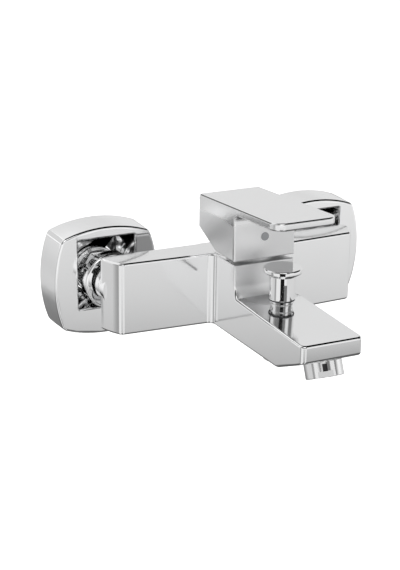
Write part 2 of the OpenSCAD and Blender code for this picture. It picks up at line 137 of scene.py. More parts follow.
def inset(points, distances):
    """The outline moved inwards at each point by that point's distance."""
    count = len(points)
    area = sum(points[i - 1].x * points[i].y - points[i].x * points[i - 1].y for i in range(count))
    side = 1 if area > 0 else -1
    moved = []
    for i, p in enumerate(points):
        before = (p - points[i - 1]).normalized()
        after = (points[(i + 1) % count] - p).normalized()
        n1 = Vector((-before.y, before.x)) * side
        n2 = Vector((-after.y, after.x)) * side
        moved.append(p + (n1 + n2) / (1 + n1.dot(n2)) * distances[i])
    return moved


# ---- Meshes ----

def new_piece(name, bm):
    """Object in the scene made from a bmesh, which is used up."""
    bmesh.ops.recalc_face_normals(bm, faces=bm.faces)
    data = bpy.data.meshes.new(name)
    bm.to_mesh(data)
    bm.free()
    return into_scene(bpy.data.objects.new(name, data))


def mesh(name, rings):
    """Object whose walls join rings of points, in millimetres, with a cap at each end."""
    bm = bmesh.new()
    rows = [[bm.verts.new(Vector(p) * MM) for p in ring] for ring in rings]
    count = len(rows[0])
    for lower, upper in zip(rows, rows[1:]):
        for i in range(count):
            j = (i + 1) % count
            bm.faces.new((lower[i], lower[j], upper[j], upper[i]))
    bm.faces.new(rows[0])
    bm.faces.new(rows[-1])
    return new_piece(name, bm)


def upright(p, h):
    """An outline in plan, raised along Z."""
    return (p.x, p.y, h)


def across(p, h):
    """An outline in the plane of Y and Z, drawn out along X."""
    return (h, p.x, p.y)


def from_wall(p, h):
    """An outline in the plane of X and Z, drawn out from the wall."""
    return (p.x, -h, p.y)


def slab(name, outline, low, high, place, crown=0.0, taper=0.0):
    """Closed prism with rounded edges all round; outline is (points, edges) from rounded().

    crown makes its walls swell between the edges, and taper draws the high end in.
    """
    points, edges = outline
    rings = []

    def ring(height_of, inset_of):
        moved = inset(points, [inset_of(e) for e in edges])
        rings.append([place(p, height_of(e)) for p, e in zip(moved, edges)])

    for k in range(EDGE_STEPS + 1):
        a = math.pi / 2 * k / EDGE_STEPS
        ring(lambda e: low + e * (1 - math.cos(a)), lambda e: crown + e * (1 - math.sin(a)))
    bands = CROWN_BANDS if crown else 1
    for k in range(1, bands):
        t = k / bands
        ring(lambda e: low + e + (high - low - 2 * e) * t,
             lambda e: crown * (2 * t - 1) ** 2 + taper * t)
    for k in range(EDGE_STEPS, -1, -1):
        a = math.pi / 2 * k / EDGE_STEPS
        ring(lambda e: high - e * (1 - math.cos(a)), lambda e: crown + taper + e * (1 - math.sin(a)))
    return mesh(name, rings)


def groove(thread, height, turn):
    """Depth of a thread's groove at a height and a share of a turn; it runs out at both ends."""
    low, high, pitch, depth = thread
    if not low < height < high:
        return 0
    phase = (height / pitch - turn) % 1
    fade = min(1, (height - low) / pitch, (high - height) / pitch)
    return depth * fade * (1 - abs(2 * phase - 1))


def turned(name, profile, place, thread=None):
    """Ring-shaped or solid body turned from a closed profile of (radius, height) points.

    thread is (low, high, pitch, depth): between those heights the outside carries a helical thread.
    """
    outside = {at: max(r for r, height in profile if height == at) for _, at in profile}
    bm = bmesh.new()
    columns = []
    for k in range(TURN_STEPS):
        turn = k / TURN_STEPS
        x, y = math.cos(2 * math.pi * turn), math.sin(2 * math.pi * turn)
        column = []
        for radius, height in profile:
            if thread and radius == outside[height]:
                radius -= groove(thread, height, turn)
            column.append(bm.verts.new(Vector(place(radius * x, radius * y, height)) * MM))
        columns.append(column)
    for k in range(TURN_STEPS):
        here, there = columns[k], columns[(k + 1) % TURN_STEPS]
        for i in range(len(profile)):
            j = (i + 1) % len(profile)
            bm.faces.new((here[i], here[j], there[j], there[i]))
    same_place = 1e-7
    bmesh.ops.remove_doubles(bm, verts=bm.verts, dist=same_place)
    bmesh.ops.dissolve_degenerate(bm, edges=bm.edges, dist=same_place)
    return new_piece(name, bm)


def bar(radius, start, end, n=64):
    """Plain round cutter between two points."""
    start, end = Vector(start), Vector(end)
    turn = (end - start).to_track_quat("Z", "Y").to_matrix()
    angles = [2 * math.pi * k / n for k in range(n)]
    circle = [Vector((math.cos(a), math.sin(a), 0)) for a in angles]
    rings = [[p + turn @ (c * radius) for c in circle] for p in (start, end)]
    return mesh("cutter", rings)


def block(low, high):
    """Plain square cutter between two corners."""
    x0, y0, z0 = low
    x1, y1, z1 = high
    base = [(x0, y0), (x1, y0), (x1, y1), (x0, y1)]
    return mesh("cutter", [[(x, y, z) for x, y in base] for z in (z0, z1)])


def combine(obj, other, operation):
    """Joins obj with another mesh or cuts it by that mesh, which is used up."""
    step = obj.modifiers.new("combine", "BOOLEAN")
    step.object = other
    step.operation = operation
    step.solver = "MANIFOLD"
    solved = obj.evaluated_get(bpy.context.evaluated_depsgraph_get())
    result = bpy.data.meshes.new_from_object(solved)
    obj.modifiers.clear()
    obj.data = result
    bpy.data.objects.remove(other)


def cut(obj, *cutters):
    """Cuts obj by each cutter in turn."""
    for cutter in cutters:
        combine(obj, cutter, "DIFFERENCE")


def finish_shell(obj, body, *nodes, slot="chrome", look=None):
    """Smooth shading with creases, then the piece rides on its body in place of its CAD nodes.

    look names the material that the piece wears when it isn't the slot's own.
    """
    obj.data.shade_smooth()
    obj.data.set_sharp_from_angle(angle=CREASE)
    whole = obj.modifiers.new("flat faces in one piece", "DECIMATE")
    whole.decimate_type = "DISSOLVE"
    whole.angle_limit = ONE_FACE
    normals = obj.modifiers.new("flat faces stay flat", "WEIGHTED_NORMAL")
    normals.keep_sharp = True
    obj.data.materials.clear()
    obj.data.materials.append(MATERIALS[look or slot])
    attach(obj, body)
    if nodes:
        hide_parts(*nodes)
    return obj


# ---- Materials ----

CLOUD_SPAN = (0.3, 0.7)   # the part of the noise's range that colour and roughness use
GRAIN_SCALE = 12          # the relief's grain is this much finer than the clouds
CHROME_COLOUR = (0.9, 0.902, 0.905)


def noise(nodes, links, place, scale, detail):
    """Output of a noise texture over the surface."""
    texture = nodes.new("ShaderNodeTexNoise")
    texture.inputs["Scale"].default_value = scale
    texture.inputs["Detail"].default_value = detail
    links.new(place, texture.inputs["Vector"])
    return texture.outputs["Fac"]


def tinted(nodes, links, clouds, colour, spread):
    """Colour that the clouds vary by a share of itself, up and down."""
    tint = nodes.new("ShaderNodeValToRGB")
    for element, at, share in zip(tint.color_ramp.elements, CLOUD_SPAN, (1 - spread, 1 + spread)):
        element.position = at
        element.color = [min(1, c * share) for c in colour] + [1]
    links.new(clouds, tint.inputs["Fac"])
    return tint.outputs["Color"]


def polished(nodes, links, clouds, roughness):
    """Roughness that the clouds move between a low and a high value."""
    gloss = nodes.new("ShaderNodeMapRange")
    for name, value in zip(("From Min", "From Max", "To Min", "To Max"), (*CLOUD_SPAN, *roughness)):
        gloss.inputs[name].default_value = value
    links.new(clouds, gloss.inputs["Value"])
    return gloss.outputs["Result"]


def unpolished(nodes, links, where, gloss, patch):
    """Roughness of the gloss, which rises to the patch's own towards the patch's centre."""
    centre, inner, outer, roughness = patch
    away = nodes.new("ShaderNodeVectorMath")
    away.operation = "DISTANCE"
    away.inputs[1].default_value = Vector(centre) * MM
    links.new(where, away.inputs[0])
    near = nodes.new("ShaderNodeMapRange")
    near.interpolation_type = "SMOOTHSTEP"
    near.inputs["From Min"].default_value = outer * MM
    near.inputs["From Max"].default_value = inner * MM
    near.inputs["To Max"].default_value = roughness
    links.new(away.outputs["Value"], near.inputs["Value"])
    most = nodes.new("ShaderNodeMath")
    most.operation = "MAXIMUM"
    links.new(gloss, most.inputs[0])
    links.new(near.outputs["Result"], most.inputs[1])
    return most.outputs["Value"]


def relief(nodes, links, grain, height):
    """Surface normal of a fine grain, whose height is in metres."""
    bump = nodes.new("ShaderNodeBump")
    bump.inputs["Strength"].default_value = 1
    bump.inputs["Distance"].default_value = height
    links.new(grain, bump.inputs["Height"])
    return bump.outputs["Normal"]


def material(name, metallic, roughness, colour, spread, bump, scale, stretch=(1, 1, 1), coat=0.0, dull=None):
    """Principled material whose colour, roughness and relief vary with noise over the surface.

    colour is the mean colour, spread its variation, roughness a (low, high) pair, bump a height in metres.
    dull is (centre, inner radius, outer radius, roughness) of a ball whose inside is less polished.
    """
    made = bpy.data.materials.new(name)
    made.use_nodes = True
    nodes, links = made.node_tree.nodes, made.node_tree.links
    where = nodes.new("ShaderNodeTexCoord").outputs["Object"]
    mapping = nodes.new("ShaderNodeMapping")
    mapping.inputs["Scale"].default_value = stretch
    links.new(where, mapping.inputs["Vector"])
    clouds = noise(nodes, links, mapping.outputs["Vector"], scale, 4)
    grain = noise(nodes, links, mapping.outputs["Vector"], scale * GRAIN_SCALE, 3)
    gloss = polished(nodes, links, clouds, roughness)
    if dull:
        gloss = unpolished(nodes, links, where, gloss, dull)

    shader = nodes["Principled BSDF"]
    shader.inputs["Metallic"].default_value = metallic
    shader.inputs["Coat Weight"].default_value = coat
    links.new(tinted(nodes, links, clouds, colour, spread), shader.inputs["Base Color"])
    links.new(gloss, shader.inputs["Roughness"])
    links.new(relief(nodes, links, grain, bump), shader.inputs["Normal"])
    return made


MATERIALS = {
    "chrome": material("polished chrome", 1, (0.08, 0.11), CHROME_COLOUR, 0.01, 1e-7, 30,
                       dull=((0, -97, 20), 19, 26, 0.42)),
    "lever_chrome": material("lever chrome", 1, (0.2, 0.24), CHROME_COLOUR, 0.01, 1e-7, 30,
                             dull=((0, -74, -160), 208, 216, 0.4)),
    "bright_chrome": material("bright chrome", 1, (0.02, 0.04), CHROME_COLOUR, 0.01, 1e-7, 30),
    "plated_brass": material("satin plate", 1, (0.2, 0.3), (0.78, 0.78, 0.77), 0.03, 4e-6, 160, (1, 8, 1)),
    "brass": material("machined brass", 1, (0.2, 0.32), (0.72, 0.55, 0.27), 0.05, 5e-6, 160, (1, 8, 1)),
    "steel": material("fine steel", 1, (0.18, 0.3), (0.62, 0.62, 0.63), 0.04, 4e-6, 200, (1, 1, 6)),
    "rubber": material("black rubber", 0, (0.55, 0.75), (0.035, 0.035, 0.038), 0.2, 2e-5, 300),
    "ceramic": material("lapped ceramic", 0, (0.12, 0.2), (0.9, 0.89, 0.86), 0.02, 1e-6, 250, coat=0.3),
    "white_plastic": material("moulded plastic", 0, (0.38, 0.5), (0.85, 0.85, 0.83), 0.02, 8e-6, 220),
    "black_plastic": material("black plastic", 0, (0.4, 0.55), (0.02, 0.02, 0.022), 0.1, 8e-6, 220),
    "index_plastic": material("index plastic", 0, (0.2, 0.3), (0.28, 0.29, 0.3), 0.04, 4e-6, 260, coat=0.4),
}


def dress_cad_nodes():
    """Gives every carried-over CAD node the material of its slot."""
    slots = {part["node"]: part["material_slot"] for part in frame["record"]["subparts"]}
    for name, obj in frame["nodes"].items():
        obj.data.materials.clear()
        obj.data.materials.append(MATERIALS[slots[name]])


# ---- Valve body ----

SIDES = {"left": -75, "right": 75}   # X of the wall inlets, which are 150 apart
NUT_Z = 5.0                          # height of the nuts, whose unions are eccentric
BODY_LOW, BODY_HIGH = node_box("valve_body")
ARM_BACK = -42.0
ARM_END_FRONT = (81.0, -61.5)
ARM_END_BACK = (88.4, ARM_BACK)
ARM_ROOT_Y = -64.6
ARM_EDGE = 1.5
ARM_BOW = 1.1
ARM_CORNER = 4.5
ARM_BACK_CORNER = 3.5
BLOCK_HALF = 20.5
BLOCK_FRONT = -92.0
BLOCK_EDGE = 0.9
FRONT_EDGE = 1.6
SPOUT_ROOT_Z = 4.9
SPOUT_TIP_Z = 1.7
SPOUT_DROP = (SPOUT_ROOT_Z - SPOUT_TIP_Z) / (BLOCK_FRONT - BODY_LOW.y)
SPOUT_EDGE = 1.5
FLARE_RISE, FLARE_REACH = 7.0, 2.6
TIP_LOW_Z = -9.0
TIP_SLOPE = math.radians(22.7)
TIP_LEN = 8.0
TIP_CORNER = 4
BEND_R = 14
CARTRIDGE_Y = -68.0
DIVERTER_Y = -114.7
KNOB_TRAVEL = 6.5
AERATOR_Y = -163.0
AERATOR_THREAD_R = 10.15
NIPPLE_R = 9.4
WATERWAY_R = 7


def arms_outline():
    """Plan of both arms, which pass through the centre block."""
    end = bow(ARM_END_FRONT, ARM_END_BACK, ARM_BOW)
    right = [(BLOCK_HALF - 2, BLOCK_FRONT + 18, 0, ARM_EDGE),
             (BLOCK_HALF, ARM_ROOT_Y - 5.5, 0, ARM_EDGE),
             (BLOCK_HALF, ARM_ROOT_Y, ARM_CORNER, ARM_EDGE),
             (end[0].x, end[0].y, ARM_CORNER, ARM_EDGE)]
    right += [(p.x, p.y, 0, ARM_EDGE) for p in end[3:-3]]
    right += [(end[-1].x, end[-1].y, ARM_BACK_CORNER, ARM_EDGE)]
    left = [(-x, y, radius, edge) for x, y, radius, edge in reversed(right)]
    return rounded(right + left)


def spout_top(y):
    return SPOUT_ROOT_Z - (BLOCK_FRONT - y) * SPOUT_DROP


def spout_low(y):
    return TIP_LOW_Z - (y - BODY_LOW.y) * math.tan(TIP_SLOPE)


def spout_outline():
    """Side view of the centre block and the spout."""
    top, low = BODY_HIGH.z, BODY_LOW.z
    tip_y = BODY_LOW.y
    bend_y = tip_y + (TIP_LOW_Z - low) / math.tan(TIP_SLOPE)
    flare_y = BLOCK_FRONT - FLARE_REACH
    flare = soft((BLOCK_FRONT, SPOUT_ROOT_Z + FLARE_RISE),
                 (BLOCK_FRONT - 0.3, SPOUT_ROOT_Z + 3.2),
                 (flare_y, spout_top(flare_y)))
    near_tip = tip_y + TIP_LEN
    corners = [(ARM_BACK, low, BLOCK_EDGE, BLOCK_EDGE),
               (ARM_BACK, top, BLOCK_EDGE, BLOCK_EDGE),
               (BLOCK_FRONT, top, BLOCK_EDGE, BLOCK_EDGE),
               (BLOCK_FRONT, top - 4, 0, FRONT_EDGE)]
    corners += [(p.x, p.y, 0, SPOUT_EDGE) for p in flare]
    corners += [(near_tip, spout_top(near_tip), 0, SPOUT_EDGE),
                (near_tip, spout_low(near_tip), 0, SPOUT_EDGE),
                (bend_y, low, BEND_R, SPOUT_EDGE)]
    return rounded(corners)


def spout_tip():
    """End of the spout, with its upright corners rounded in plan."""
    back, tip, depth = BODY_LOW.y + TIP_LEN + 4, BODY_LOW.y, 8
    plan = rounded([(-BLOCK_HALF, back, 0, SPOUT_EDGE), (-BLOCK_HALF, tip, TIP_CORNER, SPOUT_EDGE),
                    (BLOCK_HALF, tip, TIP_CORNER, SPOUT_EDGE), (BLOCK_HALF, back, 0, SPOUT_EDGE)], 10)

    def place(p, h):
        """Heights near 0 follow the spout's top, and heights near -depth its underside."""
        if h > -depth / 2:
            return (p.x, p.y, spout_top(p.y) + h)
        return (p.x, p.y, spout_low(p.y) + h + depth)

    return slab("tip", plan, -depth, 0, place)


def cartridge_bores():
    """Cutters for the cartridge's bore and the wider seat of the cover ring."""
    bore_r, seat_r, floor_z, above = 17.75, 19, -7, 40
    _, housing_top = node_heights("cartridge_housing")
    return (bar(bore_r, (0, CARTRIDGE_Y, floor_z), (0, CARTRIDGE_Y, above), TURN_STEPS),
            bar(seat_r, (0, CARTRIDGE_Y, housing_top - PAST), (0, CARTRIDGE_Y, above), TURN_STEPS))


def diverter_bores():
    """Cutters for the plunger's bore, which is open below, and the neck's bore above it."""
    bore_r, neck_r, below, above, gap = 9.3, 6.2, -30, 20, 0.1
    _, washer_top = node_heights("diverter_washers")
    plunge_top = washer_top + KNOB_TRAVEL + gap
    return (bar(bore_r, (0, DIVERTER_Y, below), (0, DIVERTER_Y, plunge_top)),
            bar(neck_r, (0, DIVERTER_Y, plunge_top - PAST), (0, DIVERTER_Y, above)))


def inlet_boss(inlet_x):
    """Round boss behind an arm, which takes the inlet nipple."""
    boss_r, back, inside_arm = 13, -37.5, ARM_BACK - 8
    return bar(boss_r, (inlet_x, back, NUT_Z), (inlet_x, inside_arm, NUT_Z))


def inlet_bores(inlet_x):
    """Cutters for a nipple's bore and the waterway past its end."""
    behind, nipple_end, waterway_end = -30, -54, -57
    return (bar(NIPPLE_R, (inlet_x, behind, NUT_Z), (inlet_x, nipple_end, NUT_Z)),
            bar(WATERWAY_R, (inlet_x, nipple_end + PAST, NUT_Z), (inlet_x, waterway_end, NUT_Z)))


def valve_body():
    body = slab("body_shell", arms_outline(), BODY_LOW.z, BODY_HIGH.z, upright, crown=0.12)
    combine(body, slab("spout", spout_outline(), -BLOCK_HALF, BLOCK_HALF, across), "UNION")
    combine(body, spout_tip(), "UNION")
    for inlet_x in SIDES.values():
        combine(body, inlet_boss(inlet_x), "UNION")
    cut(body, *cartridge_bores())
    for inlet_x in SIDES.values():
        cut(body, *inlet_bores(inlet_x))
    cut(body, *diverter_bores(), bar(AERATOR_THREAD_R, on_aerator(0, 0, -3), on_aerator(0, 0, 8)))
    return finish_shell(body, "body", "valve_body")


def on_aerator(x, y, h):
    """Place on the aerator's axis, which is square to the spout's sloping underside."""
    base_z = TIP_LOW_Z + (BODY_LOW.y - AERATOR_Y) * math.tan(TIP_SLOPE)
    c, s = math.cos(TIP_SLOPE), math.sin(TIP_SLOPE)
    return (x, AERATOR_Y + y * c + h * s, base_z - y * s + h * c)


# ---- Escutcheons ----

CUP_Z = 3.0
CUP_HALF = 30.0
CUP_BOW = 5.5
CUP_CORNER = 5.5
CUP_EDGE = 1.7
CUP_DEPTH = 25.7
CUP_WALL = 2.0
RECESS = (-19.2, 19.2, -14.0, 31.0)   # its mouth: low and high X from the inlet, low and high Z
RECESS_DRAFT = 3.6 / CUP_DEPTH
RECESS_FLOOR = 3
RECESS_MOUTH = 1.1
RECESS_WALL = 1.6
FLANGE_HOLE_R = 15.6


def cup_outline(inlet_x):
    """Square whose sides bow out, with rounded corners."""
    centre = Vector((inlet_x, CUP_Z))
    square = [Vector(c) * CUP_HALF + centre for c in ((-1, -1), (1, -1), (1, 1), (-1, 1))]
    corners = []
    for k in range(4):
        arc = bow(square[k], square[(k + 1) % 4], CUP_BOW, 14)
        corners.append((arc[0].x, arc[0].y, CUP_CORNER, CUP_EDGE))
        corners += [(p.x, p.y, 0, CUP_EDGE) for p in arc[2:-2]]
    return rounded(corners)


def recess_rings(inlet_x, grow, floor, mouth):
    """Drafted square recess, larger by grow, from its floor past a mouth rounded by that radius."""
    x0, x1, z0, z1 = RECESS
    steps = 5
    corners = ((x0, z0), (x1, z0), (x1, z1), (x0, z1))
    outline, _ = rounded([(inlet_x + sideways, z, 1, 0) for sideways, z in corners])
    rings = []

    def ring(depth, outward):
        moved = inset(outline, [-outward] * len(outline))
        rings.append([from_wall(p, depth) for p in moved])

    ring(floor, grow - RECESS_DRAFT * (CUP_DEPTH - floor))
    ring(CUP_DEPTH - mouth, grow - RECESS_DRAFT * mouth)
    for k in range(1, steps + 1):
        a = math.pi / 2 * k / steps
        ring(CUP_DEPTH - mouth * (1 - math.sin(a)), grow + mouth * (1 - math.cos(a)))
    ring(CUP_DEPTH + 2, grow + mouth)
    return rings


def escutcheon(name, inlet_x):
    """Cup that is hollow behind its face, but for the walls round the recess."""
    outline = cup_outline(inlet_x)
    cup = slab(name + "_shell", outline, 0, CUP_DEPTH, from_wall, crown=0.1, taper=0.6)
    points, _ = outline
    inner = inset(points, [CUP_WALL] * len(points))
    hollow = mesh("cutter", [[from_wall(p, h) for p in inner] for h in (-PAST, CUP_DEPTH - CUP_WALL)])
    walls = mesh("funnel", recess_rings(inlet_x, RECESS_WALL, RECESS_FLOOR - CUP_WALL, 0.01))
    combine(hollow, walls, "DIFFERENCE")
    cut(cup, hollow,
        mesh("cutter", recess_rings(inlet_x, 0, RECESS_FLOOR, RECESS_MOUTH)),
        bar(FLANGE_HOLE_R, (inlet_x, PAST, NUT_Z), (inlet_x, -RECESS_FLOOR - PAST, NUT_Z), TURN_STEPS))
    return finish_shell(cup, "body", name)


# ---- Lever ----

LEVER_LOW, LEVER_HIGH = node_box("lever_handle")
LEVER_HALF = LEVER_HIGH.x
LEVER_BACK, LEVER_FRONT = LEVER_HIGH.y, LEVER_LOW.y
LEVER_BACK_TOP = 58.3
LEVER_SLOPE = (LEVER_HIGH.z - LEVER_BACK_TOP) / (LEVER_BACK - LEVER_FRONT)
LIFT_ROOM = math.radians(23.5)   # rise of the block's underside at the back, so that the lever can lift
PLATE_T = 4.9
PLATE_EDGE = 1.2
PLATE_CORNER = 8
PLATE_BACK_CORNER = 1.5


def plate_top(y):
    return LEVER_BACK_TOP + LEVER_SLOPE * (LEVER_BACK - y)


def plate():
    """Thin sloping top of the lever."""
    plan = rounded([(-LEVER_HALF, LEVER_BACK, PLATE_BACK_CORNER, PLATE_EDGE),
                    (-LEVER_HALF, LEVER_FRONT, PLATE_CORNER, PLATE_EDGE),
                    (LEVER_HALF, LEVER_FRONT, PLATE_CORNER, PLATE_EDGE),
                    (LEVER_HALF, LEVER_BACK, PLATE_BACK_CORNER, PLATE_EDGE)], 10)
    return slab("lever_shell", plan, -PLATE_T, 0, lambda p, h: (p.x, p.y, plate_top(p.y) + h))


def lever_side():
    """Side view of the lever's block, which ends inside the plate."""
    foot, back_top = LEVER_LOW.z, plate_top(LEVER_BACK)
    cut_z = foot + (LEVER_BACK - CARTRIDGE_Y) * math.tan(LIFT_ROOM)
    under = plate_top(BLOCK_FRONT) - PLATE_T
    arch = soft((BLOCK_FRONT, under - 4),
                (BLOCK_FRONT, under),
                (BLOCK_FRONT - 4, plate_top(BLOCK_FRONT - 4) - PLATE_T))
    end = arch[-1]
    side = [(LEVER_BACK, back_top - 2.4, 0, 0),
            (LEVER_BACK, back_top - 4, 0, 0.8),
            (LEVER_BACK, cut_z, 1, 0.8),
            (CARTRIDGE_Y, foot, 1, 0.8),
            (BLOCK_FRONT, foot, 0.6, 1.2),
            (BLOCK_FRONT, foot + 4, 0, 1.6)]
    side += [(p.x, p.y, 0, 1.4) for p in arch[:-1]]
    side += [(end.x, end.y + 0.3, 0, 0.8), (end.x, end.y + 2.4, 0, 0)]
    return rounded(side)


def lever_hollow():
    """Cutter for the space in the block, round the stem's socket and the set screw's boss."""
    wall, below, roof = 3.2, 20, 49.0
    socket, socket_foot = 8.0, 33
    boss, boss_low, boss_high = 4.5, 36.5, 45.5
    half = LEVER_HALF - wall
    hollow = block((-half, BLOCK_FRONT + wall, below), (half, LEVER_BACK - wall, roof))
    cut(hollow,
        block((-socket, CARTRIDGE_Y - socket, socket_foot), (socket, CARTRIDGE_Y + socket, roof + 4)),
        block((-boss, BLOCK_FRONT, boss_low), (boss, CARTRIDGE_Y, boss_high)))
    return hollow


def lever_handle():
    handle = plate()
    combine(handle, slab("block", lever_side(), -LEVER_HALF, LEVER_HALF, across), "UNION")
    stem, below, stem_top = 4.05, 20, 44.1
    screw_r, plug_r = 2.4, 2.6
    plug_low, plug_high = node_heights("index_plug")
    screw_z = (plug_low + plug_high) / 2
    front = BLOCK_FRONT - PAST
    cut(handle, lever_hollow(),
        block((-stem, CARTRIDGE_Y - stem, below), (stem, CARTRIDGE_Y + stem, stem_top)),
        bar(screw_r, (0, CARTRIDGE_Y, screw_z), (0, front, screw_z), 32),
        bar(plug_r, (0, BLOCK_FRONT + 4, screw_z), (0, front, screw_z), 48))
    return finish_shell(handle, "lever_group", "lever_handle", look="lever_chrome")


# ---- Turned pieces ----

def on_diverter(x, y, h):
    return (x, DIVERTER_Y + y, h)


def on_cartridge(x, y, h):
    return (x, CARTRIDGE_Y + y, h)


def turning(corners, n=5):
    """Profile of a turned piece from corners (radius, height, rounding)."""
    points, _ = rounded([(r, h, rounding, 0) for r, h, rounding in corners], n)
    return [(p.x, p.y) for p in points]


def diverter_knob():
    low, top = node_heights("diverter_knob")
    cap_r, barrel_r, bore_r, rod_r = 11.7, 7.8, 5.4, 2
    shoulder, roof, rod_top = low + 15, top - 7, top - 4
    profile = turning([(0, top, 0), (cap_r, top, 1.1), (cap_r, top - 2.8, 0.9),
                       (cap_r - 2, shoulder + 0.8, 0.6), (barrel_r, shoulder, 0.5), (barrel_r, low, 0.7),
                       (bore_r, low, 0.3), (bore_r, roof, 0.3), (rod_r, roof, 0),
                       (rod_r, rod_top, 0), (0, rod_top, 0)])
    knob = turned("knob_shell", profile, on_diverter)
    return finish_shell(knob, "diverter_group", "diverter_knob", look="bright_chrome")


def diverter_bushing():
    """Neck on the spout, with a collar outside and a chamber for the rod's seal inside."""
    low, top = node_heights("diverter_bushing")
    face = top - 4.3
    rod_r, neck_r, collar_r, root_r, seal_r = 2.05, 6.5, 7, 6.2, 3.4
    profile = turning([(rod_r, top, 0), (neck_r, top, 0.4), (neck_r, face + 2.5, 0.1),
                       (collar_r, face + 2.5, 0.3), (collar_r, face + 1.7, 0.3), (neck_r, face + 1.7, 0.1),
                       (neck_r, face + 0.25, 0), (root_r, face + 0.25, 0), (root_r, low, 0.2),
                       (rod_r, low, 0), (rod_r, face - 1, 0), (seal_r, face - 1, 0),
                       (seal_r, face + 0.5, 0), (rod_r, face + 0.5, 0)])
    bushing = turned("bushing_shell", profile, on_diverter)
    return finish_shell(bushing, "body", "diverter_bushing", look="bright_chrome")


def painted_shade_ring():
    """Black ring under the knob's barrel, a dark piece put in as painted shade for the gap above the bushing.
    """
    skirt, _ = node_heights("diverter_knob")
    inner, outer, low, top = 7.05, 7.75, skirt - 0.35, skirt + 0.6
    profile = turning([(inner, low, 0.1), (outer, low, 0.1), (outer, top, 0), (inner, top, 0)])
    # Painted shade: a black ring stands in for the shadow in the gap between knob and bushing.
    finish_shell(turned("painted_shade_ring", profile, on_diverter), "diverter_group", slot="rubber")


def diverter_spring():
    """Return coil round the rod. In the mixer it is squeezed from below against the bushing as the knob
    lifts, but here it is a rigid coil riding on the diverter's group.
    """
    wire_r, turns, steps, sides = 0.4, 5, 24, 12
    low, high = node_box("diverter_spring")
    length = high.z - low.z
    coil_r = (high.x - low.x) / 2 - wire_r
    pitch = (length - 2 * wire_r) / turns
    rings = []
    for i in range(turns * steps + 1):
        a = 2 * math.pi * i / steps
        height = low.z + wire_r + pitch * i / steps
        ring = []
        for k in range(sides):
            b = 2 * math.pi * k / sides
            out = coil_r + wire_r * math.cos(b)
            ring.append(on_diverter(out * math.cos(a), out * math.sin(a), height + wire_r * math.sin(b)))
        rings.append(ring)
    spring = mesh("spring_coil", rings)
    finish_shell(spring, "diverter_group", "diverter_spring", slot="steel")
    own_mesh(spring)


def cover_ring():
    """Ring between body and lever, with a lead-in for the cartridge below."""
    low, top = node_heights("cover_ring")
    bore_r, lead_r, rim_r = 13.2, 15.2, 20.1
    profile = turning([(bore_r, low + 0.4, 0), (lead_r, low, 0), (rim_r, low, 0),
                       (rim_r, top, 0.35), (bore_r, top, 0.2)])
    finish_shell(turned("ring_shell", profile, on_cartridge), "body", "cover_ring")


def union_nut(name, inlet_x):
    """Captive nut: flats at the back, a round collar in front."""
    low, high = node_box(name)
    back, front, rise = -high.y, -low.y, (low.z + high.z) / 2

    def place(x, y, h):
        return (inlet_x + x, -h, rise + y)

    corner = (high.x - low.x) / 2
    flats_end = back + 7
    collar_r, lip_r, bore_r = 17.8, 9.8, 13.18
    hexagon = [(corner * math.cos(math.radians(a)), corner * math.sin(math.radians(a)), 0.5, 0.4)
               for a in range(0, 360, 60)]
    nut = slab(name + "_shell", rounded(hexagon, 3), back, flats_end + 1, lambda p, h: place(p.x, p.y, h))
    collar = turning([(lip_r, flats_end - 0.5, 0), (collar_r - 0.6, flats_end - 0.5, 0),
                      (collar_r, flats_end, 0.4), (collar_r, front, 1.6), (lip_r, front, 0.5)])
    combine(nut, turned("collar", collar, place), "UNION")
    cut(nut,
        bar(bore_r, place(0, 0, back - PAST), place(0, 0, front - 3.4), TURN_STEPS),
        bar(lip_r, place(0, 0, back), place(0, 0, front + PAST), TURN_STEPS))
    return finish_shell(nut, name.replace("union_nut", "nut_group"), name)


PIPE_PITCH = 1.814
HALF_INCH_R = 10.48


def screw_profile(radius, low, high):
    """Outside of a threaded length, with enough points for its thread."""
    steps = max(2, round((high - low) / PIPE_PITCH * 8))
    return [(radius, low + (high - low) * i / steps) for i in range(steps + 1)]


def eccentric_union(name, inlet_x):
    """Two stubs off one flange: the wall thread on the inlet's axis, the nut's thread above it."""
    def on_inlet(x, y, h):
        return (inlet_x + x, -h, y)

    def on_nut(x, y, h):
        return (inlet_x + x, -h, NUT_Z + y)

    end, flange, stub_end = -18, 8, 26
    flange_r, stub_r, neck_r, bore_r = 15, 13.1, 9, 8.5
    wall = [(WATERWAY_R, 1), (WATERWAY_R, end)]
    wall += screw_profile(HALF_INCH_R, end, 0) + [(neck_r, 0), (neck_r, 1)]
    piece = turned(name + "_shell", wall, on_inlet, thread=(end + 0.1, -0.8, PIPE_PITCH, 1.1))
    outer = turning([(bore_r, 0, 0), (flange_r, 0, 0.5), (flange_r, flange, 1.6), (stub_r, flange, 0.2)], 8)
    outer += screw_profile(stub_r, flange + 1, stub_end) + [(bore_r, stub_end)]
    outer = turned("outer", outer, on_nut, thread=(flange + 1.2, stub_end - 0.1, PIPE_PITCH, 0.3))
    web = [(0, 0.3), (neck_r, 0.3), (neck_r, flange - 0.1), (0, flange - 0.1)]
    combine(outer, turned("plate", web, on_nut), "UNION")
    combine(piece, outer, "UNION")
    cut(piece,
        bar(WATERWAY_R, on_inlet(0, 0, end - PAST), on_inlet(0, 0, flange + PAST), 48),
        bar(bore_r, on_nut(0, 0, flange), on_nut(0, 0, stub_end + PAST), 48))
    return finish_shell(piece, "body", name, slot="plated_brass", look="bright_chrome")


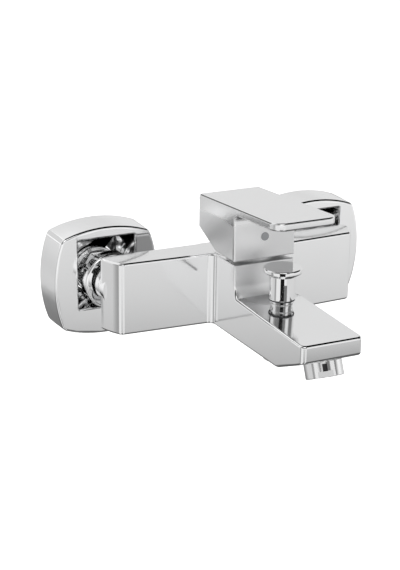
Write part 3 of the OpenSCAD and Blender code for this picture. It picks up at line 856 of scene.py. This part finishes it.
def shower_outlet():
    """Half inch outlet for the hose, screwed into the spout's underside."""
    low, top = node_heights("shower_outlet_nipple")
    face = BODY_LOW.z
    bore_r, neck_r, seal_r = 6.5, 9.25, 7.9
    profile = [(bore_r, top), (bore_r, low)] + screw_profile(HALF_INCH_R, low, face)
    profile += [(neck_r, face), (neck_r, face + 1), (seal_r, face + 1), (seal_r, face + 2.6),
                (neck_r, face + 2.6), (neck_r, top)]
    thread = (low + 0.1, face - 1.2, PIPE_PITCH, 1.0)
    outlet = turned("shower_outlet_shell", profile, on_diverter, thread)
    finish_shell(outlet, "body", "shower_outlet_nipple")


def aerator_housing():
    """Housing below the spout, with a key slot and notch in its rim."""
    rim, top = -9.3, 6
    rim_r, lip_r, inside_r, thread_r = 11.2, 7.6, 8.8, 10.1
    profile = turning([(lip_r, rim, 0.3), (rim_r, rim, 0.5), (rim_r, -0.1, 0.3), (thread_r, -0.1, 0),
                       (thread_r, top, 0.3), (inside_r, top, 0),
                       (inside_r, rim + 1.4, 0), (lip_r, rim + 1.4, 0)])
    housing = turned("aerator_shell", profile, on_aerator)
    turn = Matrix.Rotation(math.radians(-25), 2)

    def key(half, near, far, low, high):
        """Square cutter in the housing's wall, turned to where the key is."""
        corners = [turn @ Vector(c) for c in ((-half, near), (half, near), (half, far), (-half, far))]
        return mesh("cutter", [[on_aerator(c.x, c.y, h) for c in corners] for h in (low, high)])

    outside = -rim_r - PAST
    cut(housing,
        key(4.9, outside, -10.3, rim + 0.4, rim + 3.7),
        key(1.4, outside, -8.6, rim + 3.5, rim + 7.9))
    finish_shell(housing, "body", "aerator_housing")


# ---- Studio ----

CAMERA_AT = Vector((-0.4170, -0.8314, 0.3016))
YAW, PITCH, ROLL = math.radians(26.81), math.radians(19.01), math.radians(0.8)
LENS = 93.09
LAMPS_AIM = Vector((0, -0.08, 0))

# Strength of the sky by height, from straight down (-1) to straight up (1)
FRONT_LIGHT = [(-1, 0.3), (-0.8, 0.1), (-0.6, 0.1), (-0.45, 0.25), (-0.378, 0.43), (-0.355, 0.56),
               (-0.335, 0.7), (-0.29, 0.79), (-0.27, 0.85), (-0.2, 0.95), (0.12, 0.95), (0.22, 0.2), (1, 0.2)]
BACK_LIGHT = [(-1, 0.3), (-0.8, 0.1), (-0.6, 0.12), (-0.42, 0.28), (-0.365, 0.56), (-0.345, 0.65),
              (-0.3, 0.68), (-0.2, 0.66), (0.05, 0.8), (0.2, 0.8), (0.32, 0.75), (0.45, 0.79), (0.52, 0.93),
              (1, 0.9)]

# Direction, half angle of its full strength, half angle where it ends, strength
OVERHEAD_CARD = ((0.43, 0.10, 0.89), 35, 40, 0.0)
LEFT_CARD = ((-0.42, 0.84, 0.33), 14, 20, 0.02)
FAR_CARD = ((0.426, 0.844, -0.326), 13, 20, 0.28)

# Azimuth, half width, soft edge, strength
BRIGHT_STRIP = (-38, 42, 6, 0.86)
SIDE_STRIP = (-93, 4, 6, 0.35)
DARK_AZIMUTH, DARK_HALF = -30.0, 16.0
DARK_STRIP = (DARK_AZIMUTH, DARK_HALF, 1, 0.01)

# Azimuth, half width, low slope, high slope. The first two cover the dark strip for most pieces.
COVER_JOINT = 0.07
LOW_COVER = (DARK_AZIMUTH, DARK_HALF + 0.5, -1.2, COVER_JOINT)
HIGH_COVER = (DARK_AZIMUTH, DARK_HALF + 0.5, COVER_JOINT, 1.2)
BROW_PANEL = (27.4, 15, 0.18, 0.75)
LEFT_PANEL = (207, 18, 0.0, 0.8)
LOW_COVER_GAIN = 1.12   # strength against the front light, which the low cover repeats


def camera():
    """The photo's viewpoint, turned by YAW from the wall's normal and tipped down by PITCH."""
    back = Vector((-math.sin(YAW) * math.cos(PITCH), -math.cos(YAW) * math.cos(PITCH), math.sin(PITCH)))
    right = Vector((math.cos(YAW), -math.sin(YAW), 0))
    up = back.cross(right)
    rolled_right = right * math.cos(ROLL) + up * math.sin(ROLL)
    rolled_up = up * math.cos(ROLL) - right * math.sin(ROLL)
    data = bpy.data.cameras.new("camera")
    data.lens = LENS
    data.sensor_width = 36
    obj = bpy.data.objects.new("camera", data)
    turn = Matrix((rolled_right, rolled_up, back)).transposed()
    obj.matrix_world = Matrix.Translation(CAMERA_AT) @ turn.to_4x4()
    bpy.context.scene.camera = into_scene(obj)


def floor():
    """Wide glowing floor, as plain and pale as the sky. Chrome doesn't mirror it and it casts no shadow."""
    reach, low = 40.0, -0.30
    corners = [(-reach, -reach), (reach, -reach), (reach, reach), (-reach, reach)]
    data = bpy.data.meshes.new("floor")
    data.from_pydata([(x, y, low) for x, y in corners], [], [(0, 1, 2, 3)])
    obj = into_scene(bpy.data.objects.new("floor", data))
    pale = material("pale floor", 0, (0.7, 0.9), (0.97, 0.97, 0.97), 0.005, 1e-6, 2)
    shader = pale.node_tree.nodes["Principled BSDF"]
    shader.inputs["Emission Color"].default_value = (1, 1, 1, 1)
    shader.inputs["Emission Strength"].default_value = 1.0
    data.materials.append(pale)
    obj.visible_glossy = False
    obj.visible_shadow = False


def softbox(name, at, size, power):
    """Large soft lamp that faces the mixer."""
    data = bpy.data.lights.new(name, "AREA")
    data.shape = "RECTANGLE"
    data.size, data.size_y = size
    data.energy = power
    obj = bpy.data.objects.new(name, data)
    obj.location = at
    obj.rotation_euler = (LAMPS_AIM - Vector(at)).to_track_quat("-Z", "Y").to_euler()
    obj.visible_camera = False
    return into_scene(obj)


class Painter:
    """Paints light by direction into a node tree, layer over layer."""

    def __init__(self, tree, way):
        """way gives the direction: a socket of the tree, of unit length."""
        self.nodes, self.links, self.way = tree.nodes, tree.links, way

    def along(self, direction):
        """How far the way points along a direction, from -1 to 1."""
        dot = self.nodes.new("ShaderNodeVectorMath")
        dot.operation = "DOT_PRODUCT"
        self.links.new(self.way, dot.inputs[0])
        dot.inputs[1].default_value = Vector(direction).normalized()
        return dot.outputs["Value"]

    def ramp(self, stops):
        """Light by height, from (height from -1 to 1, strength) stops."""
        node = self.nodes.new("ShaderNodeValToRGB")
        shift = self.nodes.new("ShaderNodeMapRange")
        shift.inputs["From Min"].default_value = -1
        self.links.new(self.along((0, 0, 1)), shift.inputs["Value"])
        self.links.new(shift.outputs["Result"], node.inputs["Fac"])
        points = node.color_ramp.elements
        while len(points) < len(stops):
            points.new(0.5)
        for point, (height, strength) in zip(points, stops):
            point.position = (height + 1) / 2
            point.color = [strength] * 3 + [1]
        return node.outputs["Color"]

    def mask(self, value, outside, inside):
        """0 to 1 as a value goes from outside to inside."""
        node = self.nodes.new("ShaderNodeMapRange")
        node.interpolation_type = "SMOOTHSTEP"
        node.inputs["From Min"].default_value = outside
        node.inputs["From Max"].default_value = inside
        self.links.new(value, node.inputs["Value"])
        return node.outputs["Result"]

    def mix(self, mask, below, above):
        """Lays a light, or one even strength, over the light below where the mask is 1."""
        node = self.nodes.new("ShaderNodeMix")
        node.data_type = "RGBA"
        self.links.new(mask, node.inputs["Factor"])
        self.links.new(below, node.inputs["A"])
        if isinstance(above, float):
            node.inputs["B"].default_value = (above, above, above, 1)
        else:
            self.links.new(above, node.inputs["B"])
        return node.outputs["Result"]

    def card(self, light, direction, inner, outer, strength):
        """Round patch about a direction, between two half angles in degrees."""
        edge = (math.cos(math.radians(outer)), math.cos(math.radians(inner)))
        return self.mix(self.mask(self.along(direction), *edge), light, strength)

    def strip(self, light, azimuth, half_width, soft_edge, strength):
        """Upright strip about an azimuth, measured in degrees from the front towards +X."""
        a = math.radians(azimuth)
        turn = self.nodes.new("ShaderNodeMath")
        turn.operation = "ARCTAN2"
        self.links.new(self.along((math.cos(a), math.sin(a), 0)), turn.inputs[0])
        self.links.new(self.along((math.sin(a), -math.cos(a), 0)), turn.inputs[1])
        size = self.nodes.new("ShaderNodeMath")
        size.operation = "ABSOLUTE"
        self.links.new(turn.outputs["Value"], size.inputs[0])
        edge = (math.radians(half_width + soft_edge), math.radians(half_width))
        return self.mix(self.mask(size.outputs["Value"], *edge), light, strength)


def sky():
    """The studio's white tent, painted on the world, with dark cards that edges pick up as lines."""
    world = bpy.data.worlds.new("studio")
    bpy.context.scene.world = world
    world.use_nodes = True
    tree = world.node_tree
    paint = Painter(tree, tree.nodes.new("ShaderNodeTexCoord").outputs["Generated"])
    front = paint.ramp(FRONT_LIGHT)
    below_brow = paint.mask(paint.along((0, 0, 1)), 0.2, 0.1)
    front = paint.mix(below_brow, front, paint.strip(front, *BRIGHT_STRIP))
    in_front = paint.mask(paint.along((0, -1, 0)), -0.1, 0.1)
    light = paint.mix(in_front, paint.ramp(BACK_LIGHT), front)
    for card in (OVERHEAD_CARD, LEFT_CARD, FAR_CARD):
        light = paint.card(light, *card)
    for strip in (SIDE_STRIP, DARK_STRIP):
        light = paint.strip(light, *strip)
    plain = paint.mix(tree.nodes.new("ShaderNodeLightPath").outputs["Is Camera Ray"], light, 1.0)
    tree.links.new(plain, tree.nodes["Background"].inputs["Color"])


def even(strength):
    """Stops of a ramp that has one strength at every height."""
    return [(-1, strength), (1, strength)]


def panel(name, place, stops, seen_by=(), unseen_by=()):
    """Far upright light that fills a patch of the sky for some of the pieces only.

    place is its azimuth and half width in degrees, and the slopes above the horizon of its two ends.
    Its power goes with its area, so the same stops look equally bright in every panel.
    """
    azimuth, half_width, low, high = place
    distance = 20.0
    width = 2 * distance * math.tan(math.radians(half_width))
    height = distance * (high - low)
    a = math.radians(azimuth)
    at = (math.sin(a) * distance, -math.cos(a) * distance, distance * (low + high) / 2)
    lamp = softbox(name, at, (width, height), math.pi * width * height)
    lamp.rotation_euler = (math.pi / 2, 0, a)
    lamp.data.use_nodes = True
    tree = lamp.data.node_tree
    way = tree.nodes.new("ShaderNodeVectorMath")
    way.operation = "NORMALIZE"
    tree.links.new(tree.nodes.new("ShaderNodeNewGeometry").outputs["Position"], way.inputs[0])
    light = Painter(tree, way.outputs["Vector"]).ramp(stops)
    tree.links.new(light, tree.nodes["Emission"].inputs["Color"])
    group = bpy.data.collections.new(name + " pieces")
    for piece in (*seen_by, *unseen_by):
        group.objects.link(piece)
    lamp.light_linking.receiver_collection = group
    for member in group.collection_objects:
        member.light_linking.link_state = "INCLUDE" if seen_by else "EXCLUDE"


def studio(body, handle, plates, striped):
    """Sky, lamps and floor. Each panel reaches only the pieces that should mirror it.

    The striped pieces mirror the sky's dark strip. The low and high panels cover it for the others,
    but the body sees only the low one.
    """
    sky()
    softbox("key", (-0.6, -1.4, 1.6), (1.2, 1.2), 6)
    low_light = [(height, strength * LOW_COVER_GAIN) for height, strength in FRONT_LIGHT]
    panel("low panel", LOW_COVER, low_light, unseen_by=striped)
    panel("high panel", HIGH_COVER, even(0.65), unseen_by=[body, *striped])
    panel("brow panel", BROW_PANEL, even(0.62), unseen_by=[handle])
    panel("left panel", LEFT_PANEL, even(0.62), seen_by=[body])
    panel("left panel of the plates", LEFT_PANEL, even(0.7), seen_by=plates)
    floor()
    bpy.context.scene.view_settings.view_transform = "Standard"


camera()
dress_cad_nodes()
body = valve_body()
plates = []
for side, inlet_x in SIDES.items():
    plates.append(escutcheon(side + "_escutcheon", inlet_x))
    union_nut(side + "_union_nut", inlet_x)
    eccentric_union(side + "_eccentric_union", inlet_x)
handle = lever_handle()
cover_ring()
shower_outlet()
aerator_housing()
# Black ring that paints shade into the gap under the knob.
painted_shade_ring()
diverter_spring()
studio(body, handle, plates, [diverter_knob(), diverter_bushing()])
